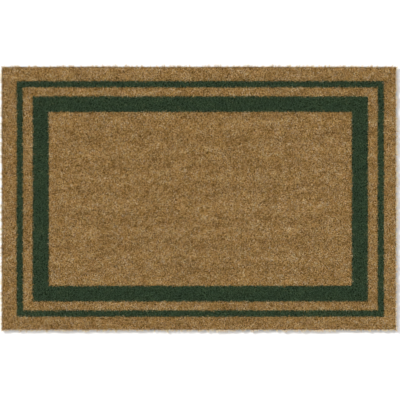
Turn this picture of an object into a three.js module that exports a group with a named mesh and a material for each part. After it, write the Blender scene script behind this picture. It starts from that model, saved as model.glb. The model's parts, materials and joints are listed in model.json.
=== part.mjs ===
// A coir door mat with a vinyl backing and two dark green borders, in millimetres, +Z up.
//
// The mat lies flat: its underside is on z = 0, its centre is over the origin and +X runs along its
// length. The vinyl sheet holds the roots of the pile, and five fields of pile stand on it edge to
// edge, from the rim inwards: natural, green, natural, green, and the natural centre. All of the pile
// is sheared to one height, so the fields differ in colour and not in level.
import * as THREE from "three";

// The mat as it is cut from the roll.
const MAT_LENGTH = 914; // along X, 36 inches
const MAT_WIDTH = 610; // along Y, 24 inches
const BACKING_THICKNESS = 2.5; // the vinyl sheet
const PILE_HEIGHT = 13.5; // from the sheet's upper face to the sheared tips

// The fields, from the rim inwards. A field is as wide at the mat's two ends, where its width is
// measured along X, as END says, and along the mat's two long sides as SIDE says.
const OUTER_MARGIN_END = 31; // natural pile round the rim
const OUTER_MARGIN_SIDE = 31.5;
const NARROW_BAND_END = 15; // thin green line
const NARROW_BAND_SIDE = 15.3;
const MIDDLE_MARGIN_END = 22; // natural pile between the lines
const MIDDLE_MARGIN_SIDE = 20;
const WIDE_BAND_END = 37.9; // broad green line
const WIDE_BAND_SIDE = 36.9;

// The lines are dyed before the mat is cut, so they sit a little off the middle of it.
const DYE_SHIFT_X = 3;
const DYE_SHIFT_Y = -1;

const NATURAL_COIR = { color: 0x8a6b42, roughness: 0.95, metalness: 0 };
const GREEN_COIR = { color: 0x2d3a28, roughness: 0.92, metalness: 0 };
const VINYL = { color: 0x262524, roughness: 0.6, metalness: 0 };

// Every outline is a rectangle: its half length, its half width and its middle.
const matOutline = { halfX: MAT_LENGTH / 2, halfY: MAT_WIDTH / 2, x: 0, y: 0 };

// The rectangle that lies inside another one, by one distance at its ends and another at its sides.
function inside({ halfX, halfY, x, y }, atEnds, atSides) {
  return { halfX: halfX - atEnds, halfY: halfY - atSides, x, y };
}

// Each field ends where the next one starts. Only the first of these is moved off the mat's middle,
// and the others follow it.
const narrowBandOutline = {
  ...inside(matOutline, OUTER_MARGIN_END, OUTER_MARGIN_SIDE),
  x: DYE_SHIFT_X,
  y: DYE_SHIFT_Y,
};
const middleMarginOutline = inside(narrowBandOutline, NARROW_BAND_END, NARROW_BAND_SIDE);
const wideBandOutline = inside(middleMarginOutline, MIDDLE_MARGIN_END, MIDDLE_MARGIN_SIDE);
const centreOutline = inside(wideBandOutline, WIDE_BAND_END, WIDE_BAND_SIDE);

function corners({ halfX, halfY, x, y }) {
  return [
    new THREE.Vector2(x - halfX, y - halfY),
    new THREE.Vector2(x + halfX, y - halfY),
    new THREE.Vector2(x + halfX, y + halfY),
    new THREE.Vector2(x - halfX, y + halfY),
  ];
}

// A flat layer that stands on the xy plane, with a rectangular opening where one is given.
function layer(outline, thickness, opening) {
  const shape = new THREE.Shape(corners(outline));
  if (opening) {
    shape.holes.push(new THREE.Path(corners(opening)));
  }
  return new THREE.ExtrudeGeometry(shape, { depth: thickness, bevelEnabled: false });
}

function piece(name, geometry, finish) {
  const mesh = new THREE.Mesh(geometry, new THREE.MeshStandardMaterial(finish));
  mesh.name = name;
  return mesh;
}

// The vinyl is cast as one sheet, and the fibres' roots are sunk in it while it is soft.
function vinylBacking() {
  return piece("vinyl_backing", layer(matOutline, BACKING_THICKNESS), VINYL);
}

function outerNaturalPile() {
  const ring = layer(matOutline, PILE_HEIGHT, narrowBandOutline);
  return piece("outer_natural_pile", ring, NATURAL_COIR);
}

function narrowGreenPile() {
  const ring = layer(narrowBandOutline, PILE_HEIGHT, middleMarginOutline);
  return piece("narrow_green_pile", ring, GREEN_COIR);
}

function middleNaturalPile() {
  const ring = layer(middleMarginOutline, PILE_HEIGHT, wideBandOutline);
  return piece("middle_natural_pile", ring, NATURAL_COIR);
}

function wideGreenPile() {
  const ring = layer(wideBandOutline, PILE_HEIGHT, centreOutline);
  return piece("wide_green_pile", ring, GREEN_COIR);
}

function centreNaturalPile() {
  return piece("centre_natural_pile", layer(centreOutline, PILE_HEIGHT), NATURAL_COIR);
}

// All of the pile stands on the sheet's upper face.
function pile() {
  const group = new THREE.Group();
  group.position.z = BACKING_THICKNESS;
  group.add(
    outerNaturalPile(),
    narrowGreenPile(),
    middleNaturalPile(),
    wideGreenPile(),
    centreNaturalPile(),
  );
  return group;
}

const doorMat = new THREE.Group();
doorMat.add(vinylBacking(), pile());

export default doorMat;
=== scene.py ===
# %% [markdown]
# # A coir door mat
#
# A sheet of vinyl holds the roots of hundreds of thousands of stiff coconut fibres, the fibres are
# sheared level, and two border lines are dyed into them. A board with fibres painted on it would still
# look like a board, so this lesson plants the mat: the upper fibres one by one, a closed bed of packed
# fibre under them, a fringe along the cut edge, some loose fibres on top and the vinyl under it all.
#
# The sizes come from a CAD frame that is already there. Everything is in metres, +Z is up, and the
# middle of the mat's underside is the origin.

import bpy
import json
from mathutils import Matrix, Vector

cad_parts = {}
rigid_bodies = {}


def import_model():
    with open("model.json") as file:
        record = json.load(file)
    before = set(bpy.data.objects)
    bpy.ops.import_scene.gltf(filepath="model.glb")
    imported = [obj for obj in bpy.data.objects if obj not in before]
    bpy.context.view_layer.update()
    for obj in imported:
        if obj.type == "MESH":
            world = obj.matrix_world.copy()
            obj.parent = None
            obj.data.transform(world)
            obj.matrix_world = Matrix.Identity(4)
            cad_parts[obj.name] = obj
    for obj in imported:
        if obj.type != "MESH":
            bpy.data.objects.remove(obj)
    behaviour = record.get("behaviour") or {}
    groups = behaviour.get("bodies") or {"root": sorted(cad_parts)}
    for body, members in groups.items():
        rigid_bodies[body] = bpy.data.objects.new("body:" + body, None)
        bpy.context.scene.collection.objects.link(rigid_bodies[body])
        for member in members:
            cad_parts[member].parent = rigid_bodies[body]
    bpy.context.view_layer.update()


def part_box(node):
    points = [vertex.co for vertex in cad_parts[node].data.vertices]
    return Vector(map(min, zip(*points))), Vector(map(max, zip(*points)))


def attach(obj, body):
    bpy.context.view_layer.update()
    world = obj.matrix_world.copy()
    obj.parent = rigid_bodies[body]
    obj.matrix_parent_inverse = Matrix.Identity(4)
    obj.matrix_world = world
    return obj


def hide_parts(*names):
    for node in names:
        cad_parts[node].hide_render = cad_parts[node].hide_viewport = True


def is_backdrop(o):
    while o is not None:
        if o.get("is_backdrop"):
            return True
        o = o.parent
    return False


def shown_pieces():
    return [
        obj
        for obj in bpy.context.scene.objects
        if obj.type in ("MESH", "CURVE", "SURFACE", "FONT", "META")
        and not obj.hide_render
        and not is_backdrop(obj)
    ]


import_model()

import json
import math
import random
from functools import partialmethod

import bpy
from mathutils import Vector, noise

MM = 0.001
scene = bpy.context.scene

# %% [markdown]
# ## The fields of the mat
#
# Seen from above, the mat is five fields inside each other: natural pile round the rim, a thin green
# line, natural pile, a broad green line and the natural centre. Each field is a rectangle with the
# next one cut out of it, so two corners of its own and two of the next field say all there is to say.
# We read them from the frame, because a size that is typed twice is soon two sizes.

# %% Read the fields
FIELDS = [
    "outer_natural_pile",
    "narrow_green_pile",
    "middle_natural_pile",
    "wide_green_pile",
    "centre_natural_pile",
]
corners = {name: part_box(name) for name in FIELDS}
backing_low, backing_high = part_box("vinyl_backing")
PILE_FOOT = backing_high.z  # the fibres leave the vinyl here
PILE_TOP = corners["centre_natural_pile"][1].z  # and are sheared off here
NOWHERE = Vector((0, 0, 0))  # both corners of the opening of a field that has none


def opening(name):
    """The lowest and highest corner of what is cut out of a field: the next field inwards."""
    place = FIELDS.index(name) + 1
    return corners[FIELDS[place]] if place < len(FIELDS) else (NOWHERE, NOWHERE)


def all_round(size):
    """What moves a corner in or out by the same size along X and Y."""
    return Vector((size, size, 0))


for name in FIELDS:
    low, high = corners[name]
    print(f"{name}: {(high.x - low.x) / MM:.0f} by {(high.y - low.y) / MM:.0f} mm")

# %% [markdown]
# ## Node trees written as sums
#
# The finishes and the planting are node trees, which in Python can turn into pages of `links.new`. Two
# small classes mend that. A `Wire` stands for a node's output, and a sum written with wires adds the
# Math nodes for it. Every other node comes from one method of the `Bench`, which takes the node's
# type, its settings and what its sockets get.


# %% A wire
class Wire:
    """The output of a node, in a form that sums can be written with."""

    def __init__(self, bench, socket):
        self.bench = bench
        self.socket = socket

    def maths(self, operation, *others):
        """A Math node that starts from this value."""
        return self.bench.maths(operation, self, *others)

    def reflected(self, operation, other):
        """The same with this value in second place, for sums like 1 - mask."""
        return self.bench.maths(operation, other, self)

    __add__ = partialmethod(maths, "ADD")
    __sub__ = partialmethod(maths, "SUBTRACT")
    __mul__ = partialmethod(maths, "MULTIPLY")
    __truediv__ = partialmethod(maths, "DIVIDE")
    __gt__ = partialmethod(maths, "GREATER_THAN")
    __lt__ = partialmethod(maths, "LESS_THAN")
    __radd__ = partialmethod(reflected, "ADD")
    __rsub__ = partialmethod(reflected, "SUBTRACT")
    __rmul__ = partialmethod(reflected, "MULTIPLY")
    __rtruediv__ = partialmethod(reflected, "DIVIDE")

    def clamped(self):
        """The same value, held between 0 and 1."""
        return self.bench.node("ShaderNodeClamp", {}, {"Value": self})

    def beside(self, name):
        """Another output of the same node."""
        return Wire(self.bench, self.socket.node.outputs[name])


# %% The bench that wires are laid on
class Bench:
    """A node tree that is being built."""

    def __init__(self, tree):
        self.tree = tree
        tree.nodes.clear()

    def node(self, kind, settings=None, inputs=None, output=0):
        """Adds a node: its settings first, then a number or a wire for each socket that needs one."""
        made = self.tree.nodes.new(kind)
        for name, value in (settings or {}).items():
            if name == "stops":
                self.set_stops(made.color_ramp, value)
            else:
                setattr(made, name, value)
        for name, value in (inputs or {}).items():
            if isinstance(value, Wire):
                self.tree.links.new(value.socket, made.inputs[name])
            else:
                made.inputs[name].default_value = value
        return Wire(self, made.outputs[output]) if made.outputs else None

    @staticmethod
    def set_stops(ramp, stops):
        while len(ramp.elements) < len(stops):
            ramp.elements.new(0.5)
        for element, (place, colour) in zip(ramp.elements, stops):
            element.position = place
            element.color = (*colour, 1)

    def maths(self, operation, *values):
        return self.node("ShaderNodeMath", {"operation": operation}, dict(enumerate(values)))

    def noise(self, place, fineness, detail=2.0):
        """A soft random value round 0.5 that changes over about 1 / fineness metres."""
        inputs = {"Vector": place, "Scale": fineness, "Detail": detail}
        return self.node("ShaderNodeTexNoise", {}, inputs)

    def xyz(self, vector):
        """The three numbers of a vector."""
        x = self.node("ShaderNodeSeparateXYZ", {}, {"Vector": vector})
        return x, x.beside("Y"), x.beside("Z")

    def vector(self, x, y, z):
        return self.node("ShaderNodeCombineXYZ", {}, {"X": x, "Y": y, "Z": z})

    def ramp(self, stops, share):
        """The colour that a row of stops has at this share of its length."""
        return self.node("ShaderNodeValToRGB", {"stops": stops}, {"Fac": share})

    def mixed(self, share, first, second, blend="MIX"):
        """One colour going over into another as share goes from 0 to 1."""
        settings = {"data_type": "RGBA", "blend_type": blend}
        return self.node("ShaderNodeMix", settings, {0: share, 6: first, 7: second}, 2)

    def tinted(self, share, colour, tint):
        """A colour multiplied by a tint, the more so the nearer share is to 1."""
        return self.mixed(share, colour, tint, "MULTIPLY")

    def bump(self, strength, distance, height):
        """A normal that follows heights too small to be modelled."""
        inputs = {"Strength": strength, "Distance": distance, "Height": height}
        return self.node("ShaderNodeBump", {}, inputs)


# %% [markdown]
# ## The colour of coir
#
# Coir fibres run from umber through golden brown to straw, and a few are almost cream. The brown of the
# mat is their mix, darkened by the shade between them. One flat brown could never give that grain, so
# each fibre gets its own random number when it is planted, and a ramp turns the number into a colour.
#
# The green is the same fibre, dyed. Dye covers best at the tips, so low down the brown comes back, and
# the odd fibre has shed it. Low down every fibre also goes over to a dark root colour, which is painted
# shade: the shade that falls deep between the fibres. Where the mat is cut, the straw is a little
# paler, and that ramp is the palest, because it also holds painted light shining through the thin fibres
# of the fringe.

# %% The ramps of the fibres
NATURAL_STOPS = [
    (0.00, (0.285, 0.145, 0.027)),
    (0.20, (0.520, 0.281, 0.064)),
    (0.50, (0.712, 0.434, 0.139)),
    (0.74, (0.850, 0.600, 0.269)),
    (0.83, (0.940, 0.778, 0.480)),
    (0.92, (0.980, 0.905, 0.720)),
]
GREEN_STOPS = [
    (0.00, (0.029, 0.063, 0.027)),
    (0.45, (0.050, 0.108, 0.045)),
    (0.80, (0.069, 0.141, 0.061)),
    (0.94, (0.112, 0.188, 0.090)),
    (1.00, (0.220, 0.220, 0.110)),
]
# Painted light: the cut edge's ramp is paler than the straw's own colour, for light shining through the
# thin fringe fibres.
CUT_EDGE_LIT_STOPS = [
    (0.00, (0.34, 0.190, 0.060)),
    (0.25, (0.72, 0.480, 0.200)),
    (0.50, (0.92, 0.815, 0.580)),
    (0.80, (0.97, 0.920, 0.780)),
]
# Painted shade: the dark colours that each fibre goes over to low down in the pile, where shade falls;
# under the green it is also the brown that the dye leaves.
NATURAL_ROOT_SHADE = (0.10, 0.050, 0.016, 1)
GREEN_ROOT_BROWN_AND_SHADE = (0.045, 0.036, 0.014, 1)
CUT_EDGE_ROOT_SHADE = (0.36, 0.210, 0.080, 1)


def material_bench(name):
    """A new material, its bench, and the place on the piece that patterns are made from."""
    material = bpy.data.materials.new(name)
    material.use_nodes = True
    bench = Bench(material.node_tree)
    return material, bench, bench.node("ShaderNodeTexCoord", output="Object")


def finish(bench, colour, roughness, specular, normal=None):
    """The shader, and the end of the tree."""
    inputs = {"Base Color": colour, "Roughness": roughness, "Specular IOR Level": specular}
    if normal:
        inputs["Normal"] = normal
    shader = bench.node("ShaderNodeBsdfPrincipled", {}, inputs)
    bench.node("ShaderNodeOutputMaterial", {}, {"Surface": shader})


# %% [markdown]
# ## How the colour drifts
#
# The yarn comes from many bales, so patches a few centimetres long, drawn out along the mat, are paler
# or darker than their neighbours, and whole regions differ faintly. The loom adds soft rows that run
# along the mat and wander. Pale pile is also more golden. All of that could be painted by hand; noise
# at three sizes and one bent sine wave do it by rule.

# %% Patches, regions and rows
PATCH_FINENESS = 76.0  # how fine each pattern is, in waves a metre
REGION_FINENESS = 13.0
SWAY_FINENESS = 9.0
HUE_FINENESS = 75.0
PATCH_STRETCH = 0.45  # below 1, a pattern is drawn out along the mat
SWAY_STRETCH = 0.3
PATCH_STRENGTH = 0.50  # and how much each one moves the tone
REGION_STRENGTH = 0.21
ROW_STRENGTH = 0.033
ROW_PITCH = 62 * MM  # from one pale row to the next
ROW_SWAY = 6.0  # how many radians the rows wander out of line
GOLDEN_SWING = 6.0  # how fast the tint follows the tone
HUE_SWING = 3.0
GREY_TINT = (0.965, 0.985, 1.06, 1)
GOLDEN_TINT = (1.01, 0.98, 0.90, 1)
OLIVE_TINT = (0.95, 1.0, 0.90, 1)
RED_TINT = (1.0, 0.935, 0.92, 1)


def pile_drift(bench, place):
    """How much paler or darker the pile gets from patch to patch and from row to row."""
    x, y, z = bench.xyz(place)
    patch = bench.noise(bench.vector(x * PATCH_STRETCH, y, z), PATCH_FINENESS, 1.0)
    region = bench.noise(bench.vector(x, y, 0.0), REGION_FINENESS)
    sway = bench.noise(bench.vector(x * SWAY_STRETCH, y, 0.0), SWAY_FINENESS, 1.0)
    turn = y * (2 * math.pi / ROW_PITCH) + sway * ROW_SWAY
    spots = (patch - 0.5) * PATCH_STRENGTH + (region - 0.5) * REGION_STRENGTH
    return spots + turn.maths("SINE") * ROW_STRENGTH


def hue_drift(bench, place, colour, drift):
    """Pale patches turn golden and dark ones greyer, some places go to olive and others to red."""
    golden = (drift * GOLDEN_SWING + 0.5).clamped()
    colour = bench.tinted(1.0, colour, bench.mixed(golden, GREY_TINT, GOLDEN_TINT))
    hue = bench.noise(place, HUE_FINENESS, 1.0)
    colour = bench.tinted(((hue - 0.5) * HUE_SWING).clamped(), colour, OLIVE_TINT)
    return bench.tinted(((0.5 - hue) * HUE_SWING).clamped(), colour, RED_TINT)


# %% Mix the coir finishes
TUFT_SHARE = 0.47  # how much of a fibre's tone it shares with its tuft
SHADE_DEPTH = 7 * MM  # how far below the tips a fibre has gone over to its painted root shade
COIR_ROUGHNESS = 0.62
COIR_GLOSS = 0.45


def planted_coir(name, stops, root_shade_colour, root_shade_share):
    """Coir whose fibres carry their own tone, as the planting below gives it to them, and go over to
    painted shade towards their roots.
    """
    material, bench, place = material_bench(name)
    own, tuft = (
        bench.node("ShaderNodeAttribute", {"attribute_name": note}, output="Fac")
        for note in ("fibre_tone", "tuft_tone")
    )
    drift = pile_drift(bench, place)
    tone = (own * (1 - TUFT_SHARE) + tuft * TUFT_SHARE + drift).clamped()
    colour = hue_drift(bench, place, bench.ramp(stops, tone), drift)
    # Painted shade: the deeper below the tips, the more the colour goes over to the dark root colour.
    depth = ((PILE_TOP - bench.xyz(place)[2]) / SHADE_DEPTH).clamped()
    colour = bench.mixed(depth * root_shade_share, colour, root_shade_colour)
    finish(bench, colour, COIR_ROUGHNESS, COIR_GLOSS)
    return material


natural_coir = planted_coir("planted_natural_coir", NATURAL_STOPS, NATURAL_ROOT_SHADE, 0.85)
green_coir = planted_coir("planted_green_coir", GREEN_STOPS, GREEN_ROOT_BROWN_AND_SHADE, 0.7)
lit_cut_edge_coir = planted_coir("lit_cut_edge_coir", CUT_EDGE_LIT_STOPS, CUT_EDGE_ROOT_SHADE, 0.8)
print("mixed", natural_coir.name, "and", green_coir.name, "and", lit_cut_edge_coir.name)

# %% [markdown]
# ## One fibre
#
# A sheared fibre ends in a flat cut, and below it goes out of sight between its neighbours. A curve
# with a round profile would be finer, but there will be a quarter of a million fibres, so the shape is
# almost nothing: a long three-sided spike, standing on its point with its flat end up, is closed, has
# four faces and looks cut. Seven of our twelve kinds are such spikes, each with more slant than the
# one before. Three are as wide below as above, and two have a bend, as coir does.
#
# Each fibre also brings a tiny map of itself, one unit square, on which its sides lie along one axis.
# The planting puts all these squares side by side, so that the whole pile's colours can be baked.

# %% Tools for a fibre
SIDES = 3
MAP_LEFT, MAP_MIDDLE, MAP_RIGHT = 0.2, 0.5, 0.8  # where a fibre's sides lie on its map
MAP_ROOT, MAP_TIP = 0.08, 0.74
MAP_END, MAP_CUT = 0.80, 0.94  # and where its cut end does
fibre_box = bpy.data.collections.new("fibre_kinds")
rim_box = bpy.data.collections.new("rim_fibre_kinds")
loose_box = bpy.data.collections.new("loose_fibre_kinds")


def ring_axes(direction):
    """Two axes that a ring round a line lies in: level on a line that stands, upright on one that lies."""
    if abs(direction.z) > 0.5 * direction.length:
        return Vector((1, 0, 0)), Vector((0, 1, 0))
    up = Vector((0, 0, 1))
    return up.cross(direction).normalized(), up


def tube_rings(line, widths, pointed_foot):
    """The points of the rings along a line, and which points each ring has."""
    points = []
    rings = []
    for step, (middle, width) in enumerate(zip(line, widths)):
        first = len(points)
        if step == 0 and pointed_foot:
            rings.append([first] * SIDES)
            points.append(middle)
            continue
        rings.append(list(range(first, first + SIDES)))
        right, ahead = ring_axes(line[min(step + 1, len(line) - 1)] - line[max(step - 1, 0)])
        for side in range(SIDES):
            angle = 2 * math.pi * side / SIDES
            points.append(middle + (right * math.cos(angle) + ahead * math.sin(angle)) * width / 2)
    return points, rings


# %% The mesh of a fibre, with its map
def mesh_of(name, points, faces, edges=()):
    mesh = bpy.data.meshes.new(name)
    mesh.from_pydata(points, edges, faces)
    return mesh


def add_fibre(box, name, line, widths, pointed_foot=True):
    """A closed three-sided tube along a line of points, with its own map, put in the box of its kind."""
    points, rings = tube_rings(line, widths, pointed_foot)
    rise = (MAP_TIP - MAP_ROOT) / (len(rings) - 1)
    faces = []
    maps = []
    for step, (lower, upper) in enumerate(zip(rings, rings[1:])):
        foot = MAP_ROOT + rise * step
        head = foot + rise
        for side in range(SIDES):
            after = (side + 1) % SIDES
            if lower[side] == lower[after]:
                faces.append((lower[side], upper[after], upper[side]))
                maps += [(MAP_MIDDLE, foot), (MAP_RIGHT, head), (MAP_LEFT, head)]
            else:
                faces.append((lower[side], lower[after], upper[after], upper[side]))
                maps += [(MAP_LEFT, foot), (MAP_RIGHT, foot), (MAP_RIGHT, head), (MAP_LEFT, head)]
    faces.append(tuple(rings[-1]))
    maps += [(MAP_LEFT, MAP_END), (MAP_RIGHT, MAP_END), (MAP_MIDDLE, MAP_CUT)]
    if not pointed_foot:
        faces.append(tuple(reversed(rings[0])))
        maps += [(MAP_LEFT, MAP_END), (MAP_MIDDLE, MAP_CUT), (MAP_RIGHT, MAP_END)]
    mesh = mesh_of(name, points, faces)
    layer = mesh.uv_layers.new(name="fibre_map")
    for corner, spot in zip(layer.data, maps):
        corner.uv = spot
    box.objects.link(bpy.data.objects.new(name, mesh))


def upright(offsets, length):
    """A line that goes up by the length, with a point at each of the offsets."""
    steps = len(offsets) - 1
    return [Vector((x, y, length * step / steps)) for step, (x, y) in enumerate(offsets)]


# %% Make the fibres of the upper pile
ROOT_HEIGHT = 8.5 * MM  # where they start, deep inside the lower pile
FIBRE_LENGTH = PILE_TOP - ROOT_HEIGHT + 0.9 * MM  # a little is left for the shears
FIBRE_WIDTH = 0.95 * MM  # across the cut end: a few real fibres' worth
STRAIGHT_KINDS, WHOLE_KINDS, BENT_KINDS = 7, 3, 2
MOST_SLANT = 3.2 * MM


rng = random.Random(11)
for kind in range(STRAIGHT_KINDS):
    width = FIBRE_WIDTH * rng.uniform(0.8, 1.2)
    slant = kind / (STRAIGHT_KINDS - 1) * MOST_SLANT
    line = upright([(0, 0), (slant, 0)], FIBRE_LENGTH)
    add_fibre(fibre_box, f"fibre_a_{kind}", line, [0, width])
for kind in range(WHOLE_KINDS):
    width = FIBRE_WIDTH * rng.uniform(0.6, 0.8)
    slant = rng.uniform(1.5, 3.5) * MM
    line = upright([(0, 0), (slant, 0)], FIBRE_LENGTH)
    add_fibre(fibre_box, f"fibre_b_{kind}", line, [width, width], False)
for kind in range(BENT_KINDS):
    width = FIBRE_WIDTH * rng.uniform(0.7, 0.9)
    bend = rng.uniform(0.8, 1.4) * MM
    line = upright([(0, 0), (bend, 0), (2.6 * bend, 0.5 * bend)], FIBRE_LENGTH)
    add_fibre(fibre_box, f"fibre_c_{kind}", line, [0, width, 0.9 * width])
UPPER_KINDS = len(fibre_box.objects)
print(UPPER_KINDS, "kinds of upright fibre,", round(FIBRE_LENGTH / MM, 2), "mm long")

# %% [markdown]
# ## Trees with dials
#
# Scattering a shape over a surface is what Geometry Nodes are for. Three such trees follow: for the
# upper pile, the cut edge and the loose fibres. Each has named inputs, like the dials of a machine, and
# a seed, so that it grows the same mat every time. What they share is made here once, from the random
# numbers to the plain mesh at the end, which other programs can read too.

# %% Tools for a tree
def geometry_bench(name, **dials):
    """An empty geometry tree with named inputs, given kind by kind, and the wires from them."""
    tree = bpy.data.node_groups.new(name, "GeometryNodeTree")
    bench = Bench(tree)
    tree.interface.new_socket("Geometry", in_out="OUTPUT", socket_type="NodeSocketGeometry")
    kinds = {"Geometry": "Geometry", "Fibre kinds": "Collection", "Finish": "Material", "Seed": "Int"}
    kinds |= {dial: kind for kind, names in dials.items() for dial in names}
    for dial, kind in kinds.items():
        tree.interface.new_socket(dial, in_out="INPUT", socket_type="NodeSocket" + kind)
    first = bench.node("NodeGroupInput")
    return bench, {dial: first.beside(dial) for dial in kinds}


def here(bench):
    """The place of each point."""
    return bench.node("GeometryNodeInputPosition")


def own_number(bench):
    """The number of each point or fibre."""
    return bench.node("GeometryNodeInputIndex")


def store(bench, geometry, name, value, kind="FLOAT", domain="POINT"):
    settings = {"domain": domain, "data_type": kind}
    inputs = {"Geometry": geometry, "Name": name, "Value": value}
    return bench.node("GeometryNodeStoreNamedAttribute", settings, inputs)


def stored(bench, name, kind="FLOAT"):
    return bench.node("GeometryNodeInputNamedAttribute", {"data_type": kind}, {"Name": name})


def chance(bench, low, high, seed):
    """A random number between low and high for each point, the same one for the same seed."""
    inputs = {2: low, 3: high, "ID": own_number(bench), "Seed": seed}
    return bench.node("FunctionNodeRandomValue", {"data_type": "FLOAT"}, inputs, 1)


def any_kind(bench, count, seed):
    """A whole random number that picks one of so many kinds."""
    inputs = {4: 0, 5: count - 1, "ID": own_number(bench), "Seed": seed}
    return bench.node("FunctionNodeRandomValue", {"data_type": "INT"}, inputs, 2)


def thinned(bench, points, dropped):
    """The points without those for which dropped is 1."""
    inputs = {"Geometry": points, "Selection": dropped}
    return bench.node("GeometryNodeDeleteGeometry", {"domain": "POINT"}, inputs)


def moved(bench, geometry, place):
    inputs = {"Geometry": geometry, "Position": place}
    return bench.node("GeometryNodeSetPosition", {}, inputs)


# %% Tools for standing, shearing and mapping fibres
def stood(bench, dial, points, which, rotation, size, notes):
    """A fibre on each point, with its number and other notes on it, made plain mesh."""
    box = {"Collection": dial["Fibre kinds"], "Separate Children": True, "Reset Children": True}
    inputs = {
        "Points": points,
        "Instance": bench.node("GeometryNodeCollectionInfo", {}, box),
        "Pick Instance": True,
        "Instance Index": which,
        "Rotation": rotation,
        "Scale": size,
    }
    fibres = bench.node("GeometryNodeInstanceOnPoints", {}, inputs)
    for name, value in {"fibre_number": own_number(bench), **notes}.items():
        fibres = store(bench, fibres, name, value, domain="INSTANCE")
    return bench.node("GeometryNodeRealizeInstances", {}, {"Geometry": fibres})


def sheared(bench, geometry, level):
    """No point stays above the level, and what stood above it is cut flat."""
    x, y, z = bench.xyz(here(bench))
    return moved(bench, geometry, bench.vector(x, y, z.maths("MINIMUM", level)))


def mapped(bench, geometry):
    """Puts the fibres' small maps side by side on one square, a row at a time."""
    number = stored(bench, "fibre_number")
    settings = {"data_type": "FLOAT", "domain": "POINT"}
    inputs = {"Geometry": geometry, "Attribute": number}
    count = bench.node("GeometryNodeAttributeStatistic", settings, inputs, "Max") + 1
    across = count.maths("SQRT").maths("CEIL")
    row = ((number + 0.5) / across).maths("FLOOR")
    column = number - row * across
    x, y, z = bench.xyz(stored(bench, "fibre_map", "FLOAT_VECTOR"))
    spot = bench.vector((x + column) / across, (y + row) / across, 0.0)
    return store(bench, geometry, "OFBake", spot, "FLOAT2", "CORNER")


def end_tree(bench, geometry, dial):
    inputs = {"Geometry": mapped(bench, geometry), "Material": dial["Finish"]}
    painted = bench.node("GeometryNodeSetMaterial", {}, inputs)
    bench.node("NodeGroupOutput", {}, {"Geometry": painted})
    print("the tree", bench.tree.name, "has", len(bench.tree.nodes), "nodes")
    return bench.tree


# %% Grow a piece
def triangles(mesh):
    mesh.calc_loop_triangles()
    return len(mesh.loop_triangles)


def in_scene(name, data):
    """A new object with this mesh, lamp or camera, in the scene."""
    thing = bpy.data.objects.new(name, data)
    scene.collection.objects.link(thing)
    return thing


def grown(name, footprint, tree, dials):
    """The plain mesh piece that a tree makes of a footprint with its dials set so."""
    piece = in_scene(name, footprint)
    grow = piece.modifiers.new("grow", "NODES")
    grow.node_group = tree
    for item in tree.interface.items_tree:
        if item.in_out == "INPUT" and item.name in dials:
            grow[item.identifier] = dials[item.name]
    evaluated = piece.evaluated_get(bpy.context.evaluated_depsgraph_get())
    mesh = bpy.data.meshes.new_from_object(evaluated)
    piece.modifiers.remove(grow)
    piece.data = mesh
    mesh.name = name
    mesh.materials.clear()
    mesh.materials.append(dials["Finish"])
    mesh.uv_layers["OFBake"].active_render = True
    print(f"{name}: {triangles(mesh):,} triangles")
    return piece


# %% [markdown]
# ## Planting the pile
#
# The tree below does to a flat rectangle what a mat maker does to soft vinyl:
#
# - it sets tufts at an even but irregular spacing,
# - it fans out the fibres of each tuft, like the cut end of a yarn,
# - it leans them with their tuft, with the nap and a little each its own way,
# - it keeps those whose tips are in this field, with a border that wanders, because dye soaks,
# - it stands a fibre there and shears it: no point stays higher than the shears.
#
# Each fibre of a tuft is placed by the sunflower rule: turn by the golden angle, and go out by the
# square root of the fibre's number. That fills a circle evenly with any number of fibres. The seeds
# from 21 up only tell the random draws apart.

# %% Scatter the tufts
TUFT_CROWDING = 3.2  # how many tufts are tried on each square of the spacing


def within(bench, x, y, dial, area):
    """1 between the two corners of an area, and 0 outside it."""
    low_x, low_y, low_z = bench.xyz(dial[area + " low"])
    high_x, high_y, high_z = bench.xyz(dial[area + " high"])
    return (x > low_x) * (x < high_x) * (y > low_y) * (y < high_y)


def scattered_tufts(bench, dial):
    """Tufts over the whole mat, thinned to this strip, so that all strips share one even scatter."""
    spacing = dial["Tuft spacing"]
    inputs = {
        "Mesh": dial["Geometry"],
        "Distance Min": spacing,
        "Density Max": TUFT_CROWDING / (spacing * spacing),
        "Seed": dial["Seed"],
    }
    settings = {"distribute_method": "POISSON"}
    tufts = bench.node("GeometryNodeDistributePointsOnFaces", settings, inputs)
    x, y, z = bench.xyz(here(bench))
    tufts = thinned(bench, tufts, 1 - within(bench, x, y, dial, "Strip"))
    return store(bench, tufts, "tuft_tone", chance(bench, 0.0, 1.0, 21))


# %% Fan out and lean the fibres
GOLDEN_ANGLE = math.pi * (3 - math.sqrt(5))
ROOT_FAN, TIP_FAN = 0.2, 0.8  # the shares of the fan that are in the roots and in the lean
STRAY = 1.2 * MM  # how far a single fibre leans its own way
SOAK = 1.6 * MM  # how far the dye runs past its line on a single fibre
NAP_FINENESS = 45.0
DYE_FINENESS = 75.0


def fanned_out(bench, tufts, dial):
    """The fibres of each tuft, and how far each belongs from its middle along X and Y."""
    amount = dial["Fibres in a tuft"]
    inputs = {"Geometry": tufts, "Amount": amount}
    fibres = bench.node("GeometryNodeDuplicateElements", {"domain": "POINT"}, inputs)
    copy = fibres.beside("Duplicate Index")
    turn = copy * GOLDEN_ANGLE + stored(bench, "tuft_tone") * (2 * math.pi)
    reach = ((copy + 0.5) / amount).maths("SQRT") * dial["Tuft radius"]
    return fibres, (turn.maths("COSINE") * reach, turn.maths("SINE") * reach)


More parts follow.
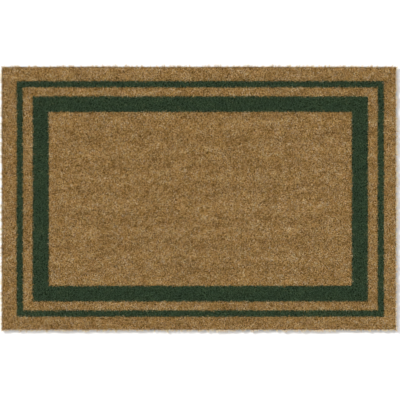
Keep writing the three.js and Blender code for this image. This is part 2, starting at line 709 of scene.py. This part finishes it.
def leaned(bench, fibres, out, dial):
    """The fibres whose tips are in this field, at their roots and with their lean noted."""
    place = here(bench)
    nap = bench.xyz(bench.noise(place, NAP_FINENESS).beside("Color"))
    dye = bench.xyz(bench.noise(place, DYE_FINENESS).beside("Color"))
    start = bench.xyz(place)
    roots, tips, ends = [], [], []
    for axis in (0, 1):
        stray = chance(bench, -STRAY, STRAY, 22 + axis)
        soak = chance(bench, -SOAK, SOAK, 29 + axis)
        root = start[axis] + out[axis] * ROOT_FAN
        tip = out[axis] * TIP_FAN + (nap[axis] - 0.5) * dial["Nap lean"] + stray
        roots.append(root)
        tips.append(tip)
        ends.append(root + tip + (dye[axis] - 0.5) * dial["Dye wander"] + soak)
    keep = within(bench, *ends, dial, "Field") * (1 - within(bench, *ends, dial, "Opening"))
    fibres = store(bench, fibres, "keep", keep)
    lean = bench.vector(*tips, FIBRE_LENGTH)
    fibres = store(bench, fibres, "lean", lean, "FLOAT_VECTOR")
    fibres = moved(bench, fibres, bench.vector(*roots, start[2]))
    return thinned(bench, fibres, 1 - stored(bench, "keep"))


# %% Stand and shear the fibres
NARROWEST, WIDEST = 0.75, 1.2  # shares of a kind's own width
WAVE_FINENESS = 22.0  # the shears leave a gently uneven face
WAVE_SHARE = 0.8


def planting_tree():
    bench, dial = geometry_bench(
        "plant_pile",
        Float=["Tuft spacing", "Tuft radius", "Nap lean", "Dye wander", "Uneven shearing"],
        Int=["Fibres in a tuft"],
        Vector=[f"{area} {end}" for area in ("Field", "Opening", "Strip") for end in ("low", "high")],
    )
    fibres, out = fanned_out(bench, scattered_tufts(bench, dial), dial)
    fibres = leaned(bench, fibres, out, dial)
    spin = bench.vector(0.0, 0.0, chance(bench, 0.0, 2 * math.pi, 24))
    turned = bench.node("FunctionNodeEulerToRotation", {}, {"Euler": spin})
    inputs = {"Rotation": turned, "Vector": stored(bench, "lean", "FLOAT_VECTOR")}
    rotation = bench.node("FunctionNodeAlignRotationToVector", {"axis": "Z"}, inputs)
    width = chance(bench, NARROWEST, WIDEST, 25)
    size = bench.vector(width, width, 1.0)
    short = chance(bench, 0.0, 1.0, 28)
    notes = {"fibre_tone": chance(bench, 0.0, 1.0, 27), "short": short * short}
    which = any_kind(bench, UPPER_KINDS, 26)
    pile = stood(bench, dial, fibres, which, rotation, size, notes)
    wave = bench.noise(here(bench), WAVE_FINENESS, 1.0)
    dip = stored(bench, "short") + (wave - 0.5) * WAVE_SHARE
    pile = sheared(bench, pile, PILE_TOP - dip * dial["Uneven shearing"])
    return end_tree(bench, pile, dial)


plant_pile = planting_tree()

# %% [markdown]
# ## Planting each field
#
# A field of many hundred thousand faces is awkward to handle as one mesh, so the large fields are
# planted in strips that run along the mat. Every strip starts from the same rectangle and the same
# seed and keeps its own share of the fibres, so the strips meet without a seam.

# %% Plant
STRIPS = dict(zip(FIELDS, (2, 1, 1, 2, 5)))
PILE_SETTINGS = {
    "Tuft spacing": 2.9 * MM,
    "Tuft radius": 2.3 * MM,
    "Fibres in a tuft": 8,
    "Nap lean": 4.0 * MM,
    "Dye wander": 5.5 * MM,
    "Uneven shearing": 0.6 * MM,
    "Fibre kinds": fibre_box,
    "Seed": 5,
}
TUFT_INSET = 1.9 * MM  # the outermost tufts stand this far inside the cut edge
OVERHANG = 6 * MM  # the outer field keeps the tips that lean out over its edge
STRIP_MARGIN = 6 * MM  # tufts this far outside a strip may still have tips in it


def rectangle(west, south, east, north, height):
    """The four corners of a level rectangle, counter-clockwise."""
    return [(west, south, height), (east, south, height), (east, north, height), (west, north, height)]


def plant(name):
    """Plants one field, strip by strip."""
    low, high = corners[name]
    if name == FIELDS[0]:
        low, high = low - all_round(OVERHANG), high + all_round(OVERHANG)
    count = STRIPS[name]
    depth = (high.y - low.y) / count
    planted = []
    for strip in range(count):
        strip_low = Vector((low.x, low.y + strip * depth, 0))
        strip_high = Vector((high.x, low.y + (strip + 1) * depth, 0))
        dials = {
            **PILE_SETTINGS,
            "Field low": strip_low,
            "Field high": strip_high,
            "Opening low": opening(name)[0],
            "Opening high": opening(name)[1],
            "Strip low": strip_low - all_round(STRIP_MARGIN),
            "Strip high": strip_high + all_round(STRIP_MARGIN),
            "Finish": green_coir if "green" in name else natural_coir,
        }
        title = f"{name}_{strip + 1}" if count > 1 else f"{name}_planted"
        planted.append(grown(title, whole_mat, plant_pile, dials))
    return planted


low, high = backing_low + all_round(TUFT_INSET), backing_high - all_round(TUFT_INSET)
whole_mat = mesh_of("whole_mat", rectangle(*low.xy, *high.xy, ROOT_HEIGHT), [(0, 1, 2, 3)])
pile_pieces = {name: plant(name) for name in FIELDS}

# %% [markdown]
# ## The finish of the lower pile
#
# Between the planted fibres you look down on more fibres, packed into one dark mass. Nobody can tell
# them apart down there, so they needn't be modelled: three sets of thin streaks that cross, of which
# the brightest wins at each spot, look like a tangle of strands with painted shade between them. Its
# colours are far darker than the fibres' own, because they are painted shade too: the shade that falls
# deep in the pile. The pile's drift lies over it too, so that both layers change together.

# %% Mix the imported coir
# Painted shade: the bed's colours are far darker than the fibres' own, for the shade deep in the pile.
SHADED_BED_NATURAL_STOPS = [
    (0.00, (0.068, 0.034, 0.008)),
    (0.45, (0.176, 0.096, 0.022)),
    (0.75, (0.310, 0.178, 0.045)),
    (1.00, (0.540, 0.340, 0.105)),
]
SHADED_BED_GREEN_STOPS = [
    (0.00, (0.010, 0.018, 0.008)),
    (0.50, (0.018, 0.034, 0.015)),
    (1.00, (0.046, 0.058, 0.028)),
]
STRAND_DIRECTIONS = (0.35, 1.45, 2.55)  # radians, the ways that most of the strands run
STRAND_FINENESS = 1700.0
STRAND_STRETCH = 0.13
BEND_FINENESS = 160.0
BEND_REACH = 2.4 * MM
CLUMP_FINENESS = 330.0
USUAL_GRAIN = 0.62  # what the brightest of three streaks is on the average
PACKED_ROUGHNESS, PACKED_GLOSS = 0.9, 0.15


def shaded_packed_coir(name, stops):
    """Fibre too tightly packed to tell apart: strands that cross, dark with painted shade, and more
    painted shade between them.
    """
    material, bench, place = material_bench(name)
    x, y, z = bench.xyz(place)
    strands = []
    for direction in STRAND_DIRECTIONS:
        along = x * math.cos(direction) + y * math.sin(direction)
        across = y * math.cos(direction) - x * math.sin(direction)
        bend = bench.noise(bench.vector(along, across, 0.0), BEND_FINENESS, 0.0)
        streak = bench.vector(
            along * STRAND_STRETCH, across + bend * BEND_REACH, z * STRAND_STRETCH + direction
        )
        strands.append(bench.noise(streak, STRAND_FINENESS, 0.0))
    grain = strands[0]
    for strand in strands[1:]:
        grain = grain.maths("MAXIMUM", strand)
    clump = bench.noise(place, CLUMP_FINENESS, 1.0)
    own_tone = 0.42 + (grain - USUAL_GRAIN) * 2.6 + (clump - 0.5) * 0.9
    colour = bench.ramp(stops, (own_tone + pile_drift(bench, place)).clamped())
    bump = bench.bump(0.9, 0.5 * MM, grain + clump)
    finish(bench, colour, PACKED_ROUGHNESS, PACKED_GLOSS, bump)
    return material


packed_natural = shaded_packed_coir("shaded_packed_natural_coir", SHADED_BED_NATURAL_STOPS)
packed_green = shaded_packed_coir("shaded_packed_green_coir", SHADED_BED_GREEN_STOPS)
print("mixed", packed_natural.name, "and", packed_green.name)

# %% [markdown]
# ## The beds of the lower pile
#
# Each field gets a closed bed that goes from the vinyl to a few millimetres below the shears. A Boolean
# could cut the hole, but it is simpler to list the cells that are there: every cell has a top and a
# bottom, and a wall where the cell beyond is missing. The heights come from one noise over the whole
# mat, so that neighbouring beds meet. The outermost walls leave room for the fibres of the cut edge.

# %% The grid of a bed
BED_TOP = 10.6 * MM
BED_ROLL = 0.8 * MM  # how far its top rolls up or down
BED_FINENESS = 45
BED_CELL = 9 * MM
BED_INSET = 1.7 * MM  # the outermost walls stand this far inside the cut edge


def stations(stops):
    """Places from the first stop to the last, through every stop, no more than a cell apart."""
    places = [stops[0]]
    for start, end in zip(stops, stops[1:]):
        count = max(1, math.ceil((end - start) / BED_CELL))
        places += [start + (end - start) * step / count for step in range(1, count + 1)]
    return places


def numbered(faces, place_of):
    """Points and faces for a mesh, from faces whose corners are named by their place in a grid."""
    numbers = {}
    faces = [[numbers.setdefault(corner, len(numbers)) for corner in face] for face in faces]
    return [place_of(*corner) for corner in numbers], faces


# %% The cells of a bed and their faces
def new_piece(name, points, faces, material):
    mesh = mesh_of(name, points, faces)
    mesh.materials.append(material)
    print(f"{name}: {triangles(mesh):,} triangles")
    return in_scene(name, mesh)


def cells_of(across, along, hole_low, hole_high):
    """The cells of a grid whose middles aren't in the opening, a row at a time."""
    cells = {}
    for row, (south, north) in enumerate(zip(along, along[1:])):
        for column, (west, east) in enumerate(zip(across, across[1:])):
            x, y = (west + east) / 2, (south + north) / 2
            if not (hole_low.x < x < hole_high.x and hole_low.y < y < hole_high.y):
                cells[column, row] = True
    return cells


def block_faces(cells):
    """Top and bottom of each cell, and a wall wherever the cell beyond is missing."""
    faces = []
    for column, row in cells:
        ring = [(column, row), (column + 1, row), (column + 1, row + 1), (column, row + 1)]
        beyond = [(column, row - 1), (column + 1, row), (column, row + 1), (column - 1, row)]
        faces.append([(*spot, True) for spot in ring])
        faces.append([(*spot, False) for spot in reversed(ring)])
        for start, end, neighbour in zip(ring, ring[1:] + ring[:1], beyond):
            if neighbour not in cells:
                faces.append([(*start, False), (*end, False), (*end, True), (*start, True)])
    return faces


# %% Pack the beds
def bed(name):
    """A closed block under a field, with the field's opening left free."""
    low, high = corners[name]
    if name == FIELDS[0]:
        low, high = low + all_round(BED_INSET), high - all_round(BED_INSET)
    hole_low, hole_high = opening(name)
    stops = [low, high] if hole_low == hole_high else [low, hole_low, hole_high, high]
    across = stations([stop.x for stop in stops])
    along = stations([stop.y for stop in stops])

    def place_of(column, row, top):
        x, y = across[column], along[row]
        roll = noise.noise(Vector((x, y, 0)) * BED_FINENESS)
        return x, y, BED_TOP + BED_ROLL * roll if top else PILE_FOOT

    faces = block_faces(cells_of(across, along, hole_low, hole_high))
    material = packed_green if "green" in name else packed_natural
    return new_piece(name + "_bed", *numbered(faces, place_of), material)


beds = {name: bed(name) for name in FIELDS}

# %% [markdown]
# ## The fibres of the cut edge
#
# The mat is cut from its roll with a blade, so along the edge the fibres stand in full view from the
# vinyl to their tips, and those that the blade has loosened lean out and curl over. That fringe makes
# the outline soft. The kinds go from a straight one to one that flares by several millimetres.

# %% Make the fibres of the edge
RIM_SINK = 0.5 * MM  # how deep they are sunk in the vinyl
RIM_LENGTH = PILE_TOP - PILE_FOOT + RIM_SINK + 0.5 * MM
RIM_WIDTH = 0.75 * MM
RIM_SWAY = 0.8 * MM
RIM_FLARES = (0.0, 0.4, 0.8, 1.2, 1.6, 2.1, 2.8, 3.6)  # millimetres outwards, one for each kind
FLARE_CURVE = ((0, 0), (0, 0.25), (0.08, 0.5), (0.32, 0.8), (1, 1))  # shares of flare and sway
RIM_TAPER = (0.5, 0.8, 1, 1, 0.85)

rng = random.Random(12)
for kind, flare in enumerate(RIM_FLARES):
    width = RIM_WIDTH * rng.uniform(0.8, 1.2)
    sway = rng.uniform(-1, 1) * RIM_SWAY
    line = upright([(flare * MM * out, sway * side) for out, side in FLARE_CURVE], RIM_LENGTH)
    add_fibre(rim_box, f"rim_fibre_{kind}", line, [width * share for share in RIM_TAPER])
RIM_KINDS = len(rim_box.objects)
print(RIM_KINDS, "kinds of fibre for the edge")

# %% [markdown]
# ## Planting the edge
#
# These fibres follow a line round the mat, so their tree turns the line into a curve and the curve into
# points, each of which knows which way is outwards. Fibres of a cut edge hang together in bunches. One
# noise along the edge says how strong the bunch is: in a strong one the fibres stand further out, lean
# more and are of the flaring kinds, and between bunches they draw back towards the bed.

# %% Place the fibres of the edge
BUNCH_FINENESS = 165.0
BUNCH_CONTRAST, BUNCH_FLOOR = 4.2, 1.6
SIDEWAYS = 0.09  # how far a fibre leans along the edge
FAN = 0.9  # how far the flare turns out of the straight way outwards


def edge_marks(bench, dial):
    """Points along the outline, each noted with its way outwards, its lean and its bunch."""
    seed = dial["Seed"]
    line = bench.node("GeometryNodeMeshToCurve", {}, {"Mesh": dial["Geometry"]})
    inputs = {"Curve": line, "Length": dial["Spacing"]}
    marks = bench.node("GeometryNodeCurveToPoints", {"mode": "LENGTH"}, inputs)
    along_x, along_y, along_z = bench.xyz(marks.beside("Tangent"))
    outward = bench.vector(along_y, 0 - along_x, 0.0)
    marks = store(bench, marks, "outward", outward, "FLOAT_VECTOR")
    out_x, out_y, out_z = bench.xyz(stored(bench, "outward", "FLOAT_VECTOR"))
    place = here(bench)
    bunch = (bench.noise(place, BUNCH_FINENESS) * BUNCH_CONTRAST - BUNCH_FLOOR).clamped()
    wild = chance(bench, 0.1, 1.0, seed + 3)
    push = (wild * 0.4 + wild * wild * wild * 0.6) * (bunch * 1.8 - 0.1) * dial["Outward lean"]
    sway = chance(bench, -SIDEWAYS, SIDEWAYS, seed + 4)
    lean = bench.vector(out_x * push + out_y * sway, out_y * push - out_x * sway, 1.0)
    marks = store(bench, marks, "lean", lean, "FLOAT_VECTOR")
    depth = chance(bench, 0.0, 1.0, seed + 10)
    inward = depth * depth * dial["Depth"] + (1 - bunch) * dial["Wander"]
    x, y, z = bench.xyz(place)
    x = x + chance(bench, -1.0, 1.0, seed + 1) * dial["Scatter"]
    y = y + chance(bench, -1.0, 1.0, seed + 2) * dial["Scatter"]
    marks = moved(bench, marks, bench.vector(x - out_x * inward, y - out_y * inward, z))
    return store(bench, marks, "bunch", bunch), out_x, out_y


# %% Plant the edge
EDGE_CUT = 1.6 * MM  # how far below the pile's top its shortest fibres end
EDGE_SETTINGS = {
    "Spacing": 0.36 * MM,
    "Scatter": 0.35 * MM,
    "Depth": 1.0 * MM,
    "Wander": 0.8 * MM,
    "Outward lean": 0.25,
    "Fibre kinds": rim_box,
    "Finish": lit_cut_edge_coir,
    "Seed": 40,
}
LINE_INSET = 0.7 * MM
BUNCH_SHARE, OWN_SHARE = 0.75, 0.249  # what picks the kind; together just under 1


def rim_tree():
    sizes = ["Spacing", "Scatter", "Depth", "Wander", "Outward lean"]
    bench, dial = geometry_bench("plant_rim", Float=sizes)
    seed = dial["Seed"]
    marks, out_x, out_y = edge_marks(bench, dial)
    fan = chance(bench, -FAN, FAN, seed + 5)
    inputs = {
        "Primary Axis": stored(bench, "lean", "FLOAT_VECTOR"),
        "Secondary Axis": bench.vector(out_x + out_y * fan, out_y - out_x * fan, 0.0),
    }
    settings = {"primary_axis": "Z", "secondary_axis": "X"}
    rotation = bench.node("FunctionNodeAxesToRotation", settings, inputs)
    own = chance(bench, 0.0, OWN_SHARE, seed + 6)
    which = ((stored(bench, "bunch") * BUNCH_SHARE + own) * RIM_KINDS).maths("FLOOR")
    short = chance(bench, 0.0, 1.0, seed + 9)
    notes = {
        "fibre_tone": chance(bench, 0.0, 1.0, seed + 7),
        "tuft_tone": chance(bench, 0.25, 1.0, seed + 8),
        "short": short * short * short,
    }
    rim = stood(bench, dial, marks, which, rotation, (1, 1, 1), notes)
    rim = sheared(bench, rim, PILE_TOP - stored(bench, "short") * EDGE_CUT)
    return end_tree(bench, rim, dial)


west, south = backing_low.x + LINE_INSET, backing_low.y + LINE_INSET
east, north = backing_high.x - LINE_INSET, backing_high.y - LINE_INSET
points = rectangle(west, south, east, north, PILE_FOOT - RIM_SINK)
outline = mesh_of("rim_line", points, [], [(0, 1), (1, 2), (2, 3), (3, 0)])
rim_fibres = grown("cut_edge_fibres", outline, rim_tree(), EDGE_SETTINGS)

# %% [markdown]
# ## Loose fibres
#
# Shearing leaves cut fibre behind, and brushing never takes all of it away. Those last fibres lie on
# the natural pile, half sunk in it, at any angle. They are the pale ones that catch your eye on a new
# mat. On the dyed lines they were dyed with the rest, so the straw-coloured ones keep to the fields.
# Nine kinds, each a bowed tube of seven steps with a hook in it, are enough: no one sees a repeat.

# %% Make the loose fibres
LOOSE_KINDS = 9
LOOSE_WIDTH = 0.42 * MM
LOOSE_STEPS = 7
LOOSE_STOPS = [
    (0.0, (0.330, 0.200, 0.085)),
    (0.6, (0.480, 0.330, 0.170)),
    (1.0, (0.680, 0.530, 0.330)),
]

rng = random.Random(23)
for kind in range(LOOSE_KINDS):
    length = rng.uniform(7, 17) * MM
    bow = rng.uniform(-0.22, 0.22) * length
    hook = rng.uniform(-0.07, 0.07) * length
    line = []
    for step in range(LOOSE_STEPS + 1):
        share = step / LOOSE_STEPS
        arch = 4 * share * (1 - share)
        across = bow * arch + hook * math.sin(2 * math.pi * share)
        line.append(Vector(((share - 0.5) * length, across, (0.9 * arch - 0.45) * MM)))
    widths = [0.4 * LOOSE_WIDTH] + [LOOSE_WIDTH] * (LOOSE_STEPS - 1) + [0.4 * LOOSE_WIDTH]
    add_fibre(loose_box, f"loose_fibre_{kind}", line, widths, False)
loose_coir = planted_coir("loose_coir", LOOSE_STOPS, NATURAL_ROOT_SHADE, 0.3)
print(LOOSE_KINDS, "kinds of loose fibre")

# %% [markdown]
# ## Dropping the loose fibres
#
# Fibre that falls has no pattern at all, so here plain random points are right, where the tufts needed
# an even spacing. The tree scatters more points than it needs over the natural fields and keeps the
# first ones, turns each fibre any way round and tips it very slightly.

# %% The tree that drops them
LOOSE_CROWD = 6000.0  # points scattered on a square metre
LOOSE_TIP = 0.05
LOOSE_HEIGHT = PILE_TOP + 0.1 * MM
LOOSE_INSET = 6 * MM  # how far they keep from the cut edge and the dyed lines


def dropping_tree():
    bench, dial = geometry_bench("drop_loose_fibres", Int=["Fibres"])
    seed = dial["Seed"]
    inputs = {"Mesh": dial["Geometry"], "Density": LOOSE_CROWD, "Seed": seed}
    settings = {"distribute_method": "RANDOM"}
    marks = bench.node("GeometryNodeDistributePointsOnFaces", settings, inputs)
    spare = own_number(bench) > dial["Fibres"] - 0.5
    turn = bench.vector(
        chance(bench, -LOOSE_TIP, LOOSE_TIP, seed + 1),
        chance(bench, -LOOSE_TIP, LOOSE_TIP, seed + 2),
        chance(bench, 0.0, 2 * math.pi, seed + 3),
    )
    rotation = bench.node("FunctionNodeEulerToRotation", {}, {"Euler": turn})
    size = chance(bench, 0.75, 1.15, seed + 4)
    size = bench.vector(size, size, size)
    tone = chance(bench, 0.0, 1.0, seed + 5)
    notes = {"fibre_tone": tone, "tuft_tone": tone}
    which = any_kind(bench, LOOSE_KINDS, 51)
    loose = stood(bench, dial, thinned(bench, marks, spare), which, rotation, size, notes)
    return end_tree(bench, loose, dial)


# %% Drop the loose fibres
def natural_fields_mesh():
    """The natural fields as flat faces at the height that the loose fibres lie at."""
    inset = all_round(LOOSE_INSET)
    points = []
    for name in FIELDS[::2]:
        low, high = corners[name][0] + inset, corners[name][1] - inset
        areas = [(*low.xy, *high.xy)]
        if name != FIELDS[-1]:
            hole_low, hole_high = opening(name)[0] - inset, opening(name)[1] + inset
            areas = [
                (low.x, low.y, high.x, hole_low.y),
                (low.x, hole_high.y, high.x, high.y),
                (low.x, hole_low.y, hole_low.x, hole_high.y),
                (hole_high.x, hole_low.y, high.x, hole_high.y),
            ]
        for area in areas:
            points += rectangle(*area, LOOSE_HEIGHT)
    faces = [list(range(first, first + 4)) for first in range(0, len(points), 4)]
    return mesh_of("natural_fields", points, faces)


loose_settings = {"Fibres": 1300, "Fibre kinds": loose_box, "Finish": loose_coir, "Seed": 60}
loose_fibres = grown("loose_fibres", natural_fields_mesh(), dropping_tree(), loose_settings)

# %% [markdown]
# ## The finish of the vinyl
#
# The backing is soft filled vinyl: near black, matt, with a skin of fine pits and a few dusty patches.
# Two noises do for that. The fine one is also the bump, and both of them vary the roughness a little,
# because an even sheen is what gives a modelled black away.

# %% Mix the vinyl
VINYL_STOPS = [
    (0.0, (0.016, 0.016, 0.017)),
    (0.6, (0.026, 0.026, 0.027)),
    (1.0, (0.042, 0.041, 0.040)),
]
PATCHES_A_METRE = 14.0
PITS_A_METRE = 900.0

black_vinyl, bench, place = material_bench("black_vinyl")
patches = bench.noise(place, PATCHES_A_METRE, 4.0)
pits = bench.noise(place, PITS_A_METRE, 3.0)
colour = bench.ramp(VINYL_STOPS, patches * 0.7 + pits * 0.3)
roughness = (0.45 + patches * 0.3 + pits * 0.1).clamped()
finish(bench, colour, roughness, 0.4, bench.bump(0.5, 0.15 * MM, pits))
print("mixed", black_vinyl.name)

# %% [markdown]
# ## The vinyl backing
#
# The backing is poured as a paste over the roots and cured. Its underside keeps the shallow pebbling
# of the belt that it was cured on, which also grips the floor, and its edge is cut with the pile. A
# bump would do for the pebbles until the mat is turned over, so they are real: every point of a fine
# grid is moved a little. The wall wanders as the blade did, which also drew its upper edge out a touch.
# The top is out of sight under the pile and stays flat.

# %% The points of the vinyl
PEBBLE_CELL = 6 * MM
PEBBLE_STRAY = 0.7 * MM  # how far a point of the grid may be off its place
PEBBLE_DEPTH = 0.22 * MM
STRAY_FINENESS = 410
PEBBLE_FINENESS = 130
CUT_FINENESS = 60
CUT_WANDER = 0.18 * MM  # how far the cut edge strays from a straight line
EDGE_BEVEL = 0.5 * MM
BURR = 0.3 * MM  # how far the blade drew the upper edge out
vinyl_size = backing_high - backing_low
COLUMNS = round(vinyl_size.x / PEBBLE_CELL)
ROWS = round(vinyl_size.y / PEBBLE_CELL)
WALL = [(EDGE_BEVEL, 0.0), (vinyl_size.z - BURR, 0.0), (vinyl_size.z, BURR)]  # heights and burr


def vinyl_point(column, row, level):
    """A point of the sheet: level 0 is the underside, and 1, 2 and 3 go up the cut wall."""
    x = backing_low.x + vinyl_size.x * column / COLUMNS
    y = backing_low.y + vinyl_size.y * row / ROWS
    at_end, at_side = column in (0, COLUMNS), row in (0, ROWS)
    height, outwards = 0.0, -EDGE_BEVEL
    if level > 0:
        height, burr = WALL[level - 1]
        wander = noise.noise(Vector((x, y, height * 40)) * CUT_FINENESS)
        outwards = CUT_WANDER * (2.0 - wander) + burr
    elif not (at_end or at_side):
        x += PEBBLE_STRAY * noise.noise(Vector((x, y, 0.3)) * STRAY_FINENESS)
        y += PEBBLE_STRAY * noise.noise(Vector((x, y, 0.7)) * STRAY_FINENESS)
        pebble = noise.noise(Vector((x, y, 0.1)) * PEBBLE_FINENESS)
        height = PEBBLE_DEPTH * (0.5 + 0.5 * pebble)
    if at_end:
        x += math.copysign(1, x) * outwards
    if at_side:
        y += math.copysign(1, y) * outwards
    return x, y, backing_low.z + height


# %% Lay the vinyl
def backing():
    """A closed sheet: a pebbled underside, a cut wall round it and a flat top."""
    faces = []
    for row in range(ROWS):
        for column in range(COLUMNS):
            ring = [(column, row), (column, row + 1), (column + 1, row + 1), (column + 1, row)]
            faces.append([(*spot, 0) for spot in ring])
    loop = [(column, 0) for column in range(COLUMNS)]
    loop += [(COLUMNS, row) for row in range(ROWS)]
    loop += [(column, ROWS) for column in range(COLUMNS, 0, -1)]
    loop += [(0, row) for row in range(ROWS, 0, -1)]
    top = len(WALL)
    for level in range(top):
        for start, end in zip(loop, loop[1:] + loop[:1]):
            faces.append([(*start, level), (*end, level), (*end, level + 1), (*start, level + 1)])
    faces.append([(*spot, top) for spot in loop])
    piece = new_piece("vinyl_backing_sheet", *numbered(faces, vinyl_point), black_vinyl)
    piece.data.shade_smooth()
    return piece


vinyl = backing()

# %% [markdown]
# ## Put the pieces in the frame
#
# The mat has no joints, so every piece rides on the one body, and the parts of the frame that the
# pieces replace are hidden.

# %% Ride and replace
for name in FIELDS:
    for piece in [beds[name], *pile_pieces[name]]:
        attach(piece, "root")
        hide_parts(name)
for piece in (rim_fibres, loose_fibres):
    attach(piece, "root")
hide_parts("outer_natural_pile")
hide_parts("outer_natural_pile", "middle_natural_pile", "centre_natural_pile")
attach(vinyl, "root")
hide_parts("vinyl_backing")

for box in (fibre_box, rim_box, loose_box):
    for kind in list(box.objects):
        bpy.data.objects.remove(kind)
    bpy.data.collections.remove(box)
print(f"{sum(triangles(piece.data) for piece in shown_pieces()):,} triangles in all")

# %% [markdown]
# ## The floor
#
# The mat lies on a plain pale floor, so wide that its end is never seen. It has no gloss and hardly any
# grain, since it is only there for the shadow, and it lies a hair below the vinyl, so that the two
# never share a plane.

# %% Floor
FLOOR_SIZE = 200.0
FLOOR_DROP = 0.2 * MM
FLOOR_STOPS = [(0.0, (0.895, 0.895, 0.895)), (1.0, (0.905, 0.905, 0.905))]

pale_floor, bench, place = material_bench("pale_floor")
finish(bench, bench.ramp(FLOOR_STOPS, bench.noise(place, 6.0)), 0.9, 0.0)
half = FLOOR_SIZE / 2
points = rectangle(-half, -half, half, half, backing_low.z - FLOOR_DROP)
floor = new_piece("floor", points, [[0, 1, 2, 3]], pale_floor)
floor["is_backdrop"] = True

# %% [markdown]
# ## The light
#
# One broad soft lamp stands high over the upper left corner. A sun with a wide angle gives the same
# soft shadow everywhere, where an area lamp would be brighter at one end of the mat. The rest of the
# light comes evenly from all round. Together they leave a faint shadow along the right and lower edges
# and the shade between the fibres.

# %% Light
SUN_STRENGTH = 2.31
SUN_ANGLE = 13
SUN_DIRECTION = Vector((0.47, -0.39, -1.0))
SKY_STRENGTH = 0.72

sun_data = bpy.data.lights.new("soft_sun", "SUN")
sun_data.energy = SUN_STRENGTH
sun_data.angle = math.radians(SUN_ANGLE)
sun = in_scene("soft_sun", sun_data)
sun.rotation_mode = "QUATERNION"
sun.rotation_quaternion = SUN_DIRECTION.to_track_quat("-Z", "Y")

world = bpy.data.worlds.new("studio")
world.use_nodes = True
sky = world.node_tree.nodes["Background"].inputs
sky["Color"].default_value = (1.0, 1.0, 1.0, 1.0)
sky["Strength"].default_value = SKY_STRENGTH
scene.world = world
scene.view_settings.view_transform = "Standard"
print("the sun gives", SUN_STRENGTH, "and the sky", SKY_STRENGTH)

# %% [markdown]
# ## The camera
#
# The mat is seen from straight above, from far away and with a long lens, so that both ends of it are
# seen as squarely as the middle. The distance follows from how much of the pile's top should fill the
# frame: that width, times the lens, over the sensor.

# %% Camera
LENS = 600
SENSOR = 36
VIEW_WIDTH = 927.2 * MM
VIEW_SHIFT = (2.35 * MM, -3.6 * MM)  # the mat lies a little left of the middle and above it

camera_data = bpy.data.cameras.new("camera")
camera_data.lens = LENS
camera_data.sensor_width = SENSOR
camera_data.dof.use_dof = False
camera_data.clip_start = 0.1
camera_data.clip_end = 100
camera = in_scene("camera", camera_data)
camera.location = (*VIEW_SHIFT, PILE_TOP + VIEW_WIDTH * LENS / SENSOR)
scene.camera = camera
print("the camera hangs", round(camera.location.z, 2), "m up")
